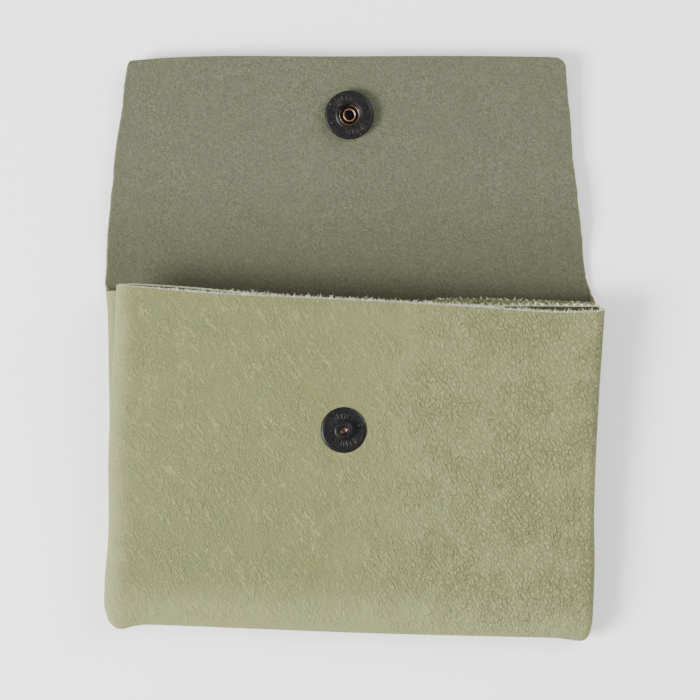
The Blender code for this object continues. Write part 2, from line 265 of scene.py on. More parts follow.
def leather_sheet(name, outer, inner, keep, materials, joined=()):
    """A closed piece of leather between two grids of points, where keep says which cells are there.

    The materials are the outer side's, the inner side's and the raw edge's. The raw edge is rounded,
    but not along the joined rows, where the sheet goes on in another piece."""
    rows, columns = outer.shape[:2]
    used = np.zeros((rows, columns), bool)
    for di in (0, 1):
        for dj in (0, 1):
            used[di:rows - 1 + di, dj:columns - 1 + dj] |= keep
    index = np.full((rows, columns), -1)
    index[used] = np.arange(used.sum())
    count = int(used.sum())
    i, j = np.nonzero(keep)
    a, b, c, d = index[i, j], index[i, j + 1], index[i + 1, j + 1], index[i + 1, j]
    over = np.stack([a, b, c, d], 1)
    under = np.stack([d, c, b, a], 1) + count
    outer_points, inner_points = outer[used], inner[used]

    padded = np.zeros((rows + 1, columns + 1), bool)
    padded[1:rows, 1:columns] = keep
    here = padded[1:rows, 1:columns]
    rims = []
    for (p, q), beside in (
        ((a, b), padded[0:rows - 1, 1:columns]),
        ((b, c), padded[1:rows, 2:columns + 1]),
        ((c, d), padded[2:rows + 1, 1:columns]),
        ((d, a), padded[1:rows, 0:columns - 1]),
    ):
        bare = (here & ~beside)[i, j]
        rims.append(np.stack([p[bare], q[bare], a[bare], c[bare]], 1))
    rims = np.concatenate(rims)
    middle = (outer_points + inner_points) / 2
    out = np.zeros((count, 3))
    away = (middle[rims[:, 0]] + middle[rims[:, 1]]) / 2 - (middle[rims[:, 2]] + middle[rims[:, 3]]) / 2
    np.add.at(out, rims[:, 0], away)
    np.add.at(out, rims[:, 1], away)
    on_rim = np.unique(rims[:, :2])
    out[on_rim] /= np.maximum(np.linalg.norm(out[on_rim], axis=1, keepdims=True), 1e-9)
    for row in joined:
        along = index[row][index[row] >= 0]
        out[along[1:-1]] = 0
        out[along[[0, -1]]] = np.sign(out[along[[0, -1]]]) * (1, 0, 0)
    order = np.full(count, -1)
    order[on_rim] = np.arange(len(on_rim)) + 2 * count
    rim_points = middle[on_rim] + out[on_rim] * RIM
    p, q = rims[:, 0], rims[:, 1]
    near = np.stack([q, p, order[p], order[q]], 1)
    far = np.stack([order[q], order[p], p + count, q + count], 1)
    faces = np.concatenate([over, under, near, far])
    kinds = np.repeat([0, 1, 2], [len(over), len(under), len(near) + len(far)])
    points = np.concatenate([outer_points, inner_points, rim_points])
    sides = points[faces]
    volume = np.einsum("ij,ij->i", sides[:, 0], np.cross(sides[:, 1], sides[:, 2]))
    volume = volume + np.einsum("ij,ij->i", sides[:, 0], np.cross(sides[:, 2], sides[:, 3]))
    if volume.sum() < 0:
        faces = faces[:, ::-1]
    return new_object(name, points, faces, kinds, materials)


def columns_of(panel_step, wing_step, free, edges):
    """The columns of a unit's section as (kind, share), from one wing's free edge to the other's."""
    wing = [max(4, int((abs(edge - start)) / wing_step)) for edge, start in zip(edges, free)]
    panel = int((edges[1] - edges[0]) / panel_step)
    spots = [("wing_left", k / wing[0]) for k in range(wing[0])]
    spots += [("fold_left", k / FOLD_STEPS) for k in range(FOLD_STEPS)]
    spots += [("panel", k / panel) for k in range(panel)]
    spots += [("fold_right", k / FOLD_STEPS) for k in range(FOLD_STEPS)]
    spots += [("wing_right", k / wing[1]) for k in range(wing[1] + 1)]
    return spots


def section(spots, left, right, free, folds):
    """A unit's section at each row: x and the distance from the body's middle plane, outside and inside.

    left and right hold the unit's outermost x at each row."""
    outside_x, outside_h, inside_x, inside_h = [], [], [], []
    near, far = MIDDLE_GAP / 2, MIDDLE
    centre_h, tall = (near + far) / 2, (far - near) / 2
    flat = np.zeros_like(left)
    for kind, share in spots:
        if kind.startswith("wing"):
            side = 0 if kind.endswith("left") else 1
            edge = left + folds[0] if side == 0 else right - folds[1]
            start, end = (free[0] + flat, edge) if side == 0 else (edge, free[1] + flat)
            x = start + (end - start) * share
            outside_x.append(x)
            inside_x.append(x)
            outside_h.append(flat + near)
            inside_h.append(flat + near + LEATHER)
        elif kind.startswith("fold"):
            side = -1 if kind.endswith("left") else 1
            wide = folds[0] if side < 0 else folds[1]
            centre = left + wide if side < 0 else right - wide
            turn = math.pi * (share if side < 0 else 1 - share)
            outside_x.append(centre + side * wide * math.sin(turn))
            outside_h.append(flat + centre_h - tall * math.cos(turn))
            inside_x.append(centre + side * (wide - LEATHER) * math.sin(turn))
            inside_h.append(flat + centre_h - (tall - LEATHER) * math.cos(turn))
        else:
            x = left + folds[0] + (right - left - folds[0] - folds[1]) * share
            outside_x.append(x)
            inside_x.append(x)
            outside_h.append(flat + far)
            inside_h.append(flat + far - LEATHER)
    return [np.stack(part, 1) for part in (outside_x, outside_h, inside_x, inside_h)]


def turned_about(points, angle, y, z, axis):
    """Points turned by an angle about an axis through (0, y, z)."""
    origin = np.array([0, y, z])
    k = np.array(axis)
    v = points - origin
    c, s = np.cos(angle)[..., None], np.sin(angle)[..., None]
    return origin + v * c + np.cross(k, v) * s + k * (v @ k)[..., None] * (1 - c)


def near_snap(x, along, centre):
    """The grid's cells that the snap's hole takes away."""
    return np.hypot(x - SNAP_X, along - centre)[:-1, :-1] < HOLE


def lift(v):
    """How high the open flap's sheet stands at a distance from the crease: flat, then up at the tilt."""
    ease = CREASE_EASE
    return math.tan(TILT) * np.where(v < -ease, 0, np.where(v > ease, v, (v + ease) ** 2 / (4 * ease)))


# ---------------------------------------------------------------- materials

class Nodes:
    """A small helper for building one material's nodes."""

    def __init__(self, name):
        self.material = bpy.data.materials.new(name)
        self.material.use_nodes = True
        self.tree = self.material.node_tree
        self.shader = self.tree.nodes["Principled BSDF"]

    def add(self, kind, inputs=(), **settings):
        node = self.tree.nodes.new(kind)
        for key, value in settings.items():
            setattr(node, key, value)
        for key, value in dict(inputs).items():
            self.feed(node.inputs[key], value)
        return node

    def feed(self, socket, value):
        if isinstance(value, bpy.types.NodeSocket):
            self.tree.links.new(value, socket)
        else:
            socket.default_value = value

    def math(self, operation, a, b=0.0):
        return self.add("ShaderNodeMath", {0: a, 1: b}, operation=operation).outputs[0]

    def spread(self, value, low, high, to_low=0.0, to_high=1.0):
        inputs = {"Value": value, "From Min": low, "From Max": high, "To Min": to_low, "To Max": to_high}
        return self.add("ShaderNodeMapRange", inputs, interpolation_type="SMOOTHSTEP").outputs["Result"]

    def noise(self, place, scale, detail=2.0, rough=0.5, distortion=0.0):
        inputs = {"Vector": place, "Scale": scale, "Detail": detail, "Roughness": rough}
        return self.add("ShaderNodeTexNoise", {**inputs, "Distortion": distortion})

    def mix(self, share, a, b):
        node = self.add("ShaderNodeMix", data_type="RGBA")
        self.feed(node.inputs[0], share)
        self.feed(node.inputs[6], a)
        self.feed(node.inputs[7], b)
        return node.outputs[2]

    def place(self, scale=(1000.0, 1000.0, 1000.0), turn=0.0, start=None):
        """Places in millimetres, turned about Z and stretched."""
        if start is None:
            start = self.add("ShaderNodeTexCoord").outputs["Object"]
        turned = self.add("ShaderNodeMapping", {"Vector": start, "Rotation": (0, 0, turn)}).outputs[0]
        return self.add("ShaderNodeMapping", {"Vector": turned, "Scale": scale}).outputs[0]

    def warped(self, place, scale, reach):
        """Places shifted by a soft noise, by up to half the reach each way."""
        kind = "ShaderNodeVectorMath"
        shift = self.noise(place, scale).outputs["Color"]
        centred = self.add(kind, {0: shift, 1: (0.5, 0.5, 0.5)}, operation="SUBTRACT").outputs[0]
        scaled = self.add(kind, {0: centred, "Scale": reach}, operation="SCALE").outputs[0]
        return self.add(kind, {0: place, 1: scaled}, operation="ADD").outputs[0]

    def cells(self, place, scale, valley):
        """Pebbles: 0 in the creases between them and 1 on their tops."""
        inputs = {"Vector": place, "Scale": scale}
        node = self.add("ShaderNodeTexVoronoi", inputs, feature="DISTANCE_TO_EDGE")
        return self.spread(node.outputs["Distance"], 0.0, valley)

    def bump(self, height, distance, strength=1.0):
        inputs = {"Height": height, "Distance": distance, "Strength": strength}
        return self.add("ShaderNodeBump", inputs).outputs["Normal"]


def grain_leather():
    """Pebbled full grain: small soft pebbles leaning down to the right, and larger, deeper and more upright
    ones on the right side, with a few long ridges. Lower relief along the bottom and left folds, with a
    painted highlight there; a painted highlight on the ridges and painted shade in the creases between
    pebbles."""
    n = Nodes("grain_leather")
    plain = n.place()
    soft = n.warped(plain, 0.45, 1.1)
    softer = n.warped(soft, 1.4, 0.55)
    leaning = n.place((1.0, 0.68, 1.0), math.radians(-34), softer)
    upright = n.place((1.0, 0.62, 1.0), math.radians(-22), softer)
    split = n.add("ShaderNodeSeparateXYZ", {0: n.warped(plain, 0.08, 22.0)})
    right = n.spread(split.outputs[0], -8.0, 26.0)
    edges = n.add("ShaderNodeSeparateXYZ", {0: n.warped(plain, 0.2, 3.0)})
    band = n.spread(edges.outputs[1], -57.0, -46.5, 1.0, 0.0)
    hem = n.spread(edges.outputs[1], -58.5, -55.0, 1.0, 0.0)
    side = n.spread(edges.outputs[0], -49.5, -43.5, 1.0, 0.0)
    # the bottom band and the left fold, where the colour gets a painted highlight below
    fold_highlight = n.math("MAXIMUM", band, side)
    fine_left = n.cells(leaning, 1.7, 0.3)
    fine_right = n.cells(upright, 1.4, 0.27)
    pebble = n.mix(right, fine_left, fine_right)
    wide = n.mix(right, n.cells(leaning, 0.7, 0.3), n.cells(upright, 0.66, 0.17))
    folds = n.noise(n.mix(right, leaning, upright), 1.1, 3.0, 0.55, 0.7).outputs["Fac"]
    lines = n.noise(n.place((0.75, 0.16, 1.0), math.radians(-36), soft), 0.62, 2.0, 0.5, 0.3).outputs["Fac"]
    off = n.math("ABSOLUTE", n.math("SUBTRACT", lines, 0.5))
    ridge = n.spread(off, 0.0, 0.03, 1.0, 0.0)
    patch = n.noise(plain, 0.13, 2.0).outputs["Fac"]
    deep = n.spread(patch, 0.38, 0.58, 0.55, 1.0)
    deep = n.math("MULTIPLY", deep, n.spread(right, 0.0, 1.0, 0.68, 1.45))
    deep = n.math("MULTIPLY", deep, n.spread(n.math("MAXIMUM", hem, side), 0.0, 1.0, 1.0, 0.5))
    grit = n.noise(n.place((1.2, 0.9, 1.0), math.radians(-34), plain), 2.6, 3.0, 0.6).outputs["Fac"]
    relief = n.math("MULTIPLY", pebble, n.spread(right, 0.0, 1.0, 0.45, 0.62))
    relief = n.math("ADD", relief, n.math("MULTIPLY", wide, 0.4))
    relief = n.math("ADD", relief, n.math("MULTIPLY", folds, n.spread(right, 0.0, 1.0, 0.7, 1.5)))
    relief = n.math("ADD", relief, n.math("MULTIPLY", grit, 0.75))
    relief = n.math("ADD", relief, n.math("MULTIPLY", ridge, 0.6))
    relief = n.math("MULTIPLY", relief, deep)
    tan = n.spread(n.noise(n.warped(plain, 0.5, 1.5), 0.32, 3.0, 0.6).outputs["Fac"], 0.40, 0.66)
    green = n.spread(n.noise(n.warped(plain, 0.2, 3.0), 0.24, 3.0, 0.6).outputs["Fac"], 0.40, 0.64)
    colour = n.mix(n.math("MULTIPLY", tan, 0.6), GRAIN_BASE, GRAIN_TAN)
    colour = n.mix(n.math("MULTIPLY", green, 0.6), colour, GRAIN_GREEN)
    # the long ridges are raised by the bump and painted lighter too: a painted highlight
    colour = n.mix(n.math("MULTIPLY", ridge, 0.7), colour, GRAIN_LIGHT)
    colour = n.mix(n.spread(grit, 0.45, 0.7, 0.0, 0.45), colour, GRAIN_LIGHT)
    # painted highlight along the bottom band and the left fold
    colour = n.mix(n.math("MULTIPLY", fold_highlight, 0.76), colour, GRAIN_LIGHT)
    colour = n.mix(n.math("MULTIPLY", right, 0.62), colour, GRAIN_LIGHT)
    # painted shade in the creases between pebbles, weaker under the painted highlight of the folds
    dark = n.math("MULTIPLY", n.math("SUBTRACT", 1.0, pebble), n.spread(right, 0.0, 1.0, 0.32, 0.4))
    dark = n.math("MULTIPLY", dark, n.spread(fold_highlight, 0.0, 1.0, 1.0, 0.3))
    colour = n.mix(dark, colour, GRAIN_CREASE_SHADE)
    n.feed(n.shader.inputs["Base Color"], colour)
    n.feed(n.shader.inputs["Roughness"], n.spread(relief, 0.5, 2.0, 0.68, 0.52))
    n.shader.inputs["Specular IOR Level"].default_value = 0.3
    n.feed(n.shader.inputs["Normal"], n.bump(relief, 0.00025))
    return n.material


def suede_leather():
    """The flesh side: short fibres lying every way, with lighter flecks, and painted shade: darker on the
    flap towards the crease, and darker still inside the pockets.
    """
    n = Nodes("suede_leather")
    plain = n.place()
    soft = n.warped(plain, 1.1, 0.7)
    across = n.noise(n.place((1.0, 2.2, 1.0), 0.5, soft), 1.7, 4.0, 0.65, 0.8).outputs["Fac"]
    down = n.noise(n.place((2.2, 1.0, 1.0), -0.3, soft), 1.9, 4.0, 0.65, 0.8).outputs["Fac"]
    fibres = n.math("MULTIPLY", n.math("ADD", across, down), 0.5)
    patch = n.noise(plain, 0.09, 3.0, 0.6).outputs["Fac"]
    nap = n.noise(n.place((1.0, 0.5, 1.0), 0.9, plain), 0.5, 3.0, 0.6).outputs["Fac"]
    colour = n.mix(n.spread(fibres, 0.43, 0.57), SUEDE_DARK, SUEDE_LIGHT)
    colour = n.mix(n.spread(patch, 0.35, 0.65, 0.0, 0.3), colour, SUEDE_WARM)
    colour = n.mix(n.spread(nap, 0.4, 0.65, 0.0, 0.3), colour, SUEDE_COOL)
    flecks = n.noise(plain, 3.6, 2.0, 0.7).outputs["Fac"]
    colour = n.mix(n.spread(flecks, 0.62, 0.74, 0.0, 0.55), colour, SUEDE_FLECK)
    height = n.add("ShaderNodeSeparateXYZ", {0: n.warped(plain, 0.25, 2.0)}).outputs[1]
    # painted shade: darker on the flap towards the crease, where the body shades it, and darker still below
    # the crease, inside the pockets
    colour = n.mix(n.spread(height, 14.0, 36.0, 0.42, 0.0), colour, SUEDE_SHADE)
    colour = n.mix(n.spread(height, 8.5, 11.5, 0.7, 0.0), colour, SUEDE_SHADE)
    n.feed(n.shader.inputs["Base Color"], colour)
    n.feed(n.shader.inputs["Roughness"], n.spread(fibres, 0.3, 0.7, 0.98, 0.86))
    n.shader.inputs["Specular IOR Level"].default_value = 0.15
    n.shader.inputs["Sheen Weight"].default_value = 0.1
    n.shader.inputs["Sheen Roughness"].default_value = 0.5
    n.feed(n.shader.inputs["Normal"], n.bump(fibres, 0.0004))
    return n.material


def raw_edge(name, dark, light, fleck):
    """A cut edge: fibrous layers between the grain and the suede."""
    n = Nodes(name)
    plain = n.place()
    layers = n.noise(n.place((1.0, 1.0, 3.0), 0.0, plain), 1.6, 4.0, 0.7).outputs["Fac"]
    fuzz = n.noise(plain, 5.0, 3.0, 0.7).outputs["Fac"]
    colour = n.mix(n.spread(layers, 0.35, 0.65), dark, light)
    colour = n.mix(n.spread(fuzz, 0.55, 0.7, 0.0, 0.5), colour, fleck)
    n.feed(n.shader.inputs["Base Color"], colour)
    n.feed(n.shader.inputs["Roughness"], n.spread(fuzz, 0.3, 0.7, 0.97, 0.85))
    n.shader.inputs["Specular IOR Level"].default_value = 0.2
    n.feed(n.shader.inputs["Normal"], n.bump(n.math("ADD", layers, fuzz), 0.00018, 0.9))
    return n.material


def loose_fibre():
    """The pale fibres that stand out of the cut edges."""
    n = Nodes("loose_fibre")
    tone = n.noise(n.place(), 0.9, 2.0).outputs["Fac"]
    n.feed(n.shader.inputs["Base Color"], n.mix(n.spread(tone, 0.35, 0.65), EDGE_LIGHT, FIBRE_LIGHT))
    n.feed(n.shader.inputs["Roughness"], n.spread(tone, 0.3, 0.7, 0.9, 0.75))
    n.shader.inputs["Specular IOR Level"].default_value = 0.25
    return n.material


def black_oxide():
    """Blackened metal, rubbed to copper in spots, with fine scratches."""
    n = Nodes("black_oxide")
    plain = n.place()
    mottled = n.noise(plain, 2.2, 4.0, 0.65).outputs["Fac"]
    scratches = n.noise(n.place((0.6, 6.0, 1.0), 0.7, plain), 3.0, 2.0, 0.6).outputs["Fac"]
    facing = n.add("ShaderNodeNewGeometry").outputs["Pointiness"]
    worn = n.math("MULTIPLY", n.spread(facing, 0.54, 0.64), n.spread(mottled, 0.46, 0.62, 0.0, 0.6))
    colour = n.mix(n.spread(mottled, 0.35, 0.65), (0.003, 0.003, 0.003, 1), (0.008, 0.0075, 0.008, 1))
    colour = n.mix(n.spread(scratches, 0.6, 0.75, 0.0, 0.3), colour, (0.02, 0.019, 0.02, 1))
    colour = n.mix(worn, colour, (0.26, 0.14, 0.1, 1))
    n.feed(n.shader.inputs["Base Color"], colour)
    n.feed(n.shader.inputs["Metallic"], n.spread(worn, 0.0, 1.0, 0.1, 0.95))
    n.shader.inputs["Specular IOR Level"].default_value = 0.2
    n.feed(n.shader.inputs["Roughness"], n.spread(mottled, 0.3, 0.7, 0.3, 0.44))
    n.feed(n.shader.inputs["Normal"], n.bump(n.math("ADD", mottled, scratches), 0.00003, 0.5))
    return n.material


def bare_metal(name, light, dark, rough):
    """Bare metal with turned lines and a slight tarnish."""
    n = Nodes(name)
    plain = n.place()
    tarnish = n.noise(plain, 1.8, 4.0, 0.6).outputs["Fac"]
    lines = n.noise(n.place((1.0, 1.0, 9.0), 0.0, plain), 3.0, 2.0, 0.5).outputs["Fac"]
    n.feed(n.shader.inputs["Base Color"], n.mix(n.spread(tarnish, 0.35, 0.68), light, dark))
    n.feed(n.shader.inputs["Roughness"], n.spread(tarnish, 0.3, 0.7, rough, rough + 0.18))
    n.shader.inputs["Metallic"].default_value = 1.0
    n.feed(n.shader.inputs["Normal"], n.bump(lines, 0.00002, 0.4))
    return n.material


# ---------------------------------------------------------------- the leather

def relief(x, y):
    """The grain side's larger shape: soft swells, and low pebbles that fade out on the smooth parts."""
    warp_x = x + 1.2 * waves(x, y, 4.0, SEED)
    warp_y = y + 1.2 * waves(x, y, 4.0, SEED + 1)
    creases = smooth(pebbles(warp_x, warp_y, 1.9, 1.9, -62, SEED + 2), 0.0, 0.35)
    rough = smooth(waves(x, y, 22.0, SEED + 3), -0.7, 0.4)
    swell = SWELL * waves(x, y, SWELL_SIZE, SEED + 4) + 0.05 * waves(x, y, 7.0, SEED + 5)
    return swell + 0.05 * (creases - 0.6) * (0.35 + 0.65 * rough)


def unit_rows(spots, free, folds, tops, left_of, right_of, shares):
    """The straight part of a unit: x, y and distance from the middle plane, outside and inside."""
    shares = np.asarray(shares, float)
    left_x, right_x = left_of(0.0), right_of(0.0)
    left_top = tops["panel"](left_x)
    right_top = tops["panel"](right_x)
    depth = HINGE_Y + BEND_REACH - CREASE_Y
    left_row = left_of(depth + (left_top - depth) * shares)
    right_row = right_of(depth + (right_top - depth) * shares)
    x_out, h_out, x_in, h_in = section(spots, left_row, right_row, free, folds)
    top = np.zeros(len(spots))
    for k, (kind, share) in enumerate(spots):
        x = x_out[-1, k]
        if kind.startswith("wing"):
            top[k] = tops[kind](x)
        elif kind.startswith("fold"):
            toward = share if kind.endswith("left") else 1 - share
            wing = tops["wing_" + kind[5:]](x)
            top[k] = wing * (1 - toward) + tops["panel"](x) * toward
        else:
            top[k] = tops["panel"](x)
    top = top - RIM
    start = bottom_y(x_out)
    y = start + (CREASE_Y + top[None, :] - start) * shares[:, None]
    return x_out, h_out, x_in, h_in, y


def back_leather(coats):
    """The back panel, its folds and wings, and the spine's lower half."""
    free = BACK_WING_FREE
    tops = {
        "panel": lambda x: 0 * np.asarray(x) - WINGS_BELOW,
        "wing_left": BACK_WING_TOP_LEFT,
        "wing_right": BACK_WING_TOP_RIGHT,
    }
    spots = columns_of(1.0, 1.4, free, (-50, 49))
    shares = np.linspace(0, 1, BACK_ROWS)
    x_out, h_out, x_in, h_in, y = unit_rows(spots, free, BACK_FOLDS, tops, BACK_LEFT, BACK_RIGHT, shares)
    outer = np.stack([x_out, y, MIDDLE - h_out], 2)
    inner = np.stack([x_in, y, MIDDLE - h_in], 2)
    # above the wings the sheet opens out flat, and runs up the spine to its middle
    up = np.linspace(-WINGS_BELOW, SPINE / 2 * math.cos(TILT), SPINE_ROWS)[1:]
    kinds = np.array([kind for kind, _ in spots])
    parts = np.array([share for _, share in spots])
    flat_side = (kinds == "fold_left") & (parts >= 0.5) | (kinds == "fold_right") & (parts <= 0.5)
    flat_side |= kinds == "panel"
    more_outer, more_inner = [], []
    for v in up:
        open_out = smooth(v, -WINGS_BELOW, WINGS_BELOW)
        inset = FLAP_INSET * smooth(v, 0, SPINE / 2)
        slope = TILT * smooth(v, -CREASE_EASE, CREASE_EASE)
        left, right = BACK_LEFT(v) + inset, BACK_RIGHT(v) - inset
        x_o, h_o, x_i, h_i = section(spots, np.array([left]), np.array([right]), free, BACK_FOLDS)
        x_o, h_o, x_i, h_i = x_o[0], h_o[0], x_i[0], h_i[0]
        z_o = (MIDDLE - h_o) * (1 - open_out) + LEATHER * (1 - math.cos(slope)) * open_out
        z_i = (MIDDLE - h_i) * (1 - open_out) + LEATHER * open_out
        row = CREASE_Y + v + 0 * x_o
        shift = LEATHER * math.sin(slope) * open_out
        more_outer.append(np.stack([x_o, row + shift, z_o + lift(v)], 1))
        more_inner.append(np.stack([x_i + (x_o - x_i) * open_out, row, z_i + lift(v)], 1))
    outer = np.concatenate([outer, np.array(more_outer)])
    inner = np.concatenate([inner, np.array(more_inner)])
    keep = np.ones((outer.shape[0] - 1, outer.shape[1] - 1), bool)
    cell_side = flat_side[:-1] & flat_side[1:]
    keep[len(shares) - 1:] = cell_side[None, :]
    made = leather_sheet("back_leather", outer, inner, keep, coats[:3], (0, -1))
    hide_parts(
        "back_panel", "back_fold_left", "back_fold_right", "back_wing_left", "back_wing_right"
    )
    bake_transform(made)
    random = np.random.default_rng(SEED + 21)
    top = len(shares) - 1
    onward = np.tile(np.array([0.0, 1.0, 0.1]), (len(spots), 1))
    for name, start in (("back_wing_fibres_left", "wing_left"), ("back_wing_fibres_right", "wing_right")):
        chosen = np.flatnonzero(kinds == start)
        fuzz = edge_fibres(
            name, outer[top, chosen], inner[top, chosen], 0.18, 0.55, coats[3], random, onward[chosen]
        )
        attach(fuzz, "root")
    declare_sheet(outer, inner, keep)


def front_leather(coats):
    """The bottom fold, the front panel, its folds and its wings."""
    free = FRONT_WING_FREE
    tops = {"panel": FRONT_TOP, "wing_left": FRONT_WING_TOP_LEFT, "wing_right": FRONT_WING_TOP_RIGHT}
    spots = columns_of(0.48, 1.6, free, (-49, 50))
    shares = np.linspace(0, 1, FRONT_ROWS)
    x_out, h_out, x_in, h_in, y = unit_rows(spots, free, FRONT_FOLDS, tops, FRONT_LEFT, FRONT_RIGHT, shares)
    kinds = np.array([kind for kind, _ in spots])
    on_panel = kinds == "panel"
    shape = relief(x_out, y)
    fade = smooth(x_out, -49, -43) * (1 - smooth(x_out, 44, 50)) * smooth(shares[:, None], 0, 0.06)
    h_out = h_out + on_panel * shape * fade
    h_in = h_in + on_panel * SWELL * waves(x_out, y, SWELL_SIZE, SEED + 4) * fade
    outer = np.stack([x_out, y, MIDDLE + h_out], 2)
    inner = np.stack([x_in, y, MIDDLE + h_in], 2)
    axis = MOUTH_AXIS
    outer = turned_about(outer, np.array(GAPE), HINGE_Y, HINGE_Z, axis)
    inner = turned_about(inner, np.array(GAPE), HINGE_Y, HINGE_Z, axis)
    # the bend under the body, from the back unit's end to the front unit's
    bend_outer, bend_inner = [], []
    depth = BEND_REACH - BODY_LENGTH
    left_0, right_0 = BACK_LEFT(depth), BACK_RIGHT(depth)
    left_1, right_1 = FRONT_LEFT(depth), FRONT_RIGHT(depth)
    for k in range(BEND_ROWS):
        share = k / BEND_ROWS
        turn = math.pi * k / BEND_ROWS
        pull = 0.7 * math.sin(turn) ** 2
        left = left_0 + (left_1 - left_0) * share + pull
        right = right_0 + (right_1 - right_0) * share - pull * 0.7
        wing = tuple(b + (f - b) * share for b, f in zip(BACK_WING_FREE, free))
        folds = tuple(b + (f - b) * share for b, f in zip(BACK_FOLDS, FRONT_FOLDS))
        parts = section(spots, np.array([left]), np.array([right]), wing, folds)
        x_o, h_o, x_i, h_i = (part[0] for part in parts)
        ears = 1.15 * hump(x_o, -46.9, 3.0) + 0.5 * hump(x_o, 47.2, 3.2)
        ears = ears + 0.38 * hump(x_o, 4.0, 34.0)
        for x, h, into in ((x_o, h_o, bend_outer), (x_i, h_i, bend_inner)):
            reach = (h + BEND_REACH + ears * h / MIDDLE) * math.sin(turn)
            points = np.stack([x, bottom_y(x) - reach, MIDDLE - h * math.cos(turn)], 1)
            angle = GAPE * float(smooth(turn, 0.3, math.pi))
            into.append(turned_about(points, np.array(angle), HINGE_Y, HINGE_Z, axis))
    outer = np.concatenate([np.array(bend_outer), outer])
    inner = np.concatenate([np.array(bend_inner), inner])
    keep = np.ones((outer.shape[0] - 1, outer.shape[1] - 1), bool)
    hole = near_snap(x_out, y, CREASE_Y - STUD_BELOW) & (on_panel[:-1] & on_panel[1:])[None, :]
    keep[BEND_ROWS:][hole] = False
    made = leather_sheet("front_leather", outer, inner, keep, coats[:3], (0,))
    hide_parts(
        "front_panel", "front_fold_left", "front_fold_right", "front_wing_left",
        "front_wing_right", "bottom_fold", "bottom_corner_left", "bottom_corner_right",
        "bottom_wing_fold_left", "bottom_wing_fold_right",
    )
    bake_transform(made)
    onward = np.tile(np.array([0.0, 1.0, 0.1]), (len(spots), 1))
    shorter = np.clip(0.5 - 0.8 * (outer[-1, :, 1] - CREASE_Y), 0.1, 1.25)
    random = np.random.default_rng(SEED + 20)
    fuzz = edge_fibres(
        "front_edge_fibres", outer[-1], inner[-1], 0.11, 0.68, coats[3], random, onward, shorter
    )
    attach(fuzz, "front_half")
    declare_sheet(outer, inner, keep)


def flap_leather(coats):
    """The spine's upper half and the flap, tilted, with a low swell above the second crease."""
    step = 0.5
    across = np.linspace(0, 1, int(98 / step))
    start = SPINE / 2
    up = np.linspace(0, 1, int(44 / step))
    side_v = start + (47.5 - start) * up
    left, right = FLAP_LEFT(side_v) + FLAP_INSET, FLAP_RIGHT(side_v) - FLAP_INSET
    x = left[:, None] + (right - left)[:, None] * across[None, :]
    v = start + (FLAP_TOP(x) - start) * up[:, None]
    # the tip's corners are rounded: a square of the grid at each is drawn into a quarter disc
    for corner, radius in ((0, 0.5), (1, 1.7)):
        edge_x = x[:, -1:] if corner else x[:, :1]
        a = np.abs(x - edge_x)
        b = FLAP_TOP(x) - v
        p, q = np.clip(radius - a, 0, radius), np.clip(radius - b, 0, radius)
        size = np.hypot(p, q)
        share = np.where(size > 0, np.maximum(p, q) / np.maximum(size, 1e-9), 1.0)
        both = (p > 0) & (q > 0)
        x = x + np.where(both, (1 - share) * p * (-1 if corner else 1), 0)
        v = v - np.where(both, (1 - share) * q, 0)
    ragged = 0.10 * waves(x, v, 3.1, SEED + 8) + 0.05 * waves(x, v, 0.9, SEED + 9)
    rim = np.minimum(np.minimum(x - x[:, :1], x[:, -1:] - x), FLAP_TOP(x) - v)
    x = x + ragged * (1 - smooth(rim, 0, 3)) * smooth(v, 4, 8)
    swell = 1.15 * smooth(v, 7, 17) * (1 - smooth(v, 15, 30))
    around = 1 - np.exp(-((x - SNAP_X) ** 2 + (v - SPINE - STUD_BELOW) ** 2) / 90)
    uneven = 0.22 * waves(x, v, 17.0, SEED + 6) + 0.05 * waves(x, v, 5.0, SEED + 7)
    swell = swell + uneven * around * smooth(v, 4, 9)
    fuzz = 0.025 * waves(x, v, 1.1, SEED + 10) * smooth(v, 4, 8)
    along = np.array([0, math.cos(TILT), math.sin(TILT)])
    up_way = np.array([0, -math.sin(TILT), math.cos(TILT)])
    base = np.array([0, CREASE_Y, CREASE_Z])
    flat = base + v[..., None] * along + x[..., None] * np.array([1, 0, 0])
    inner = flat + (swell + fuzz)[..., None] * up_way
    outer = flat + (swell - LEATHER)[..., None] * up_way
    keep = np.ones((outer.shape[0] - 1, outer.shape[1] - 1), bool)
    keep[near_snap(x, v, SPINE + STUD_BELOW)] = False
    made = leather_sheet("flap_leather", outer, inner, keep, coats[:3], (0,))
    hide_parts("flap", "flap_spine")
    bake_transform(made)
    random = np.random.default_rng(SEED + 22)
    clear = 12
    rims = (
        ("flap_fibres_left", outer[clear:, 0], inner[clear:, 0], (-1.0, 0.0, 0.0)),
        ("flap_fibres_top", outer[-1], inner[-1], (0.0, 1.0, 0.0)),
        ("flap_fibres_right", outer[clear:, -1], inner[clear:, -1], (1.0, 0.0, 0.0)),
    )
    for name, over, under, way in rims:
        onward = np.tile(np.array(way), (len(over), 1))
        fuzz = edge_fibres(name, over, under, 0.25, 0.3, coats[3], random, onward)
        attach(fuzz, "flap")
    declare_sheet(outer, inner, keep)


def declare_sheet(outer, inner, keep):
    """Works out the middle surface between the two grids, in metres, and which points the kept cells use;
    nothing is kept or returned.
    """
    middle = (outer + inner) / 2 * MM
    used = np.zeros(middle.shape[:2], bool)
    for di in (0, 1):
        for dj in (0, 1):
            used[di:used.shape[0] - 1 + di, dj:used.shape[1] - 1 + dj] |= keep


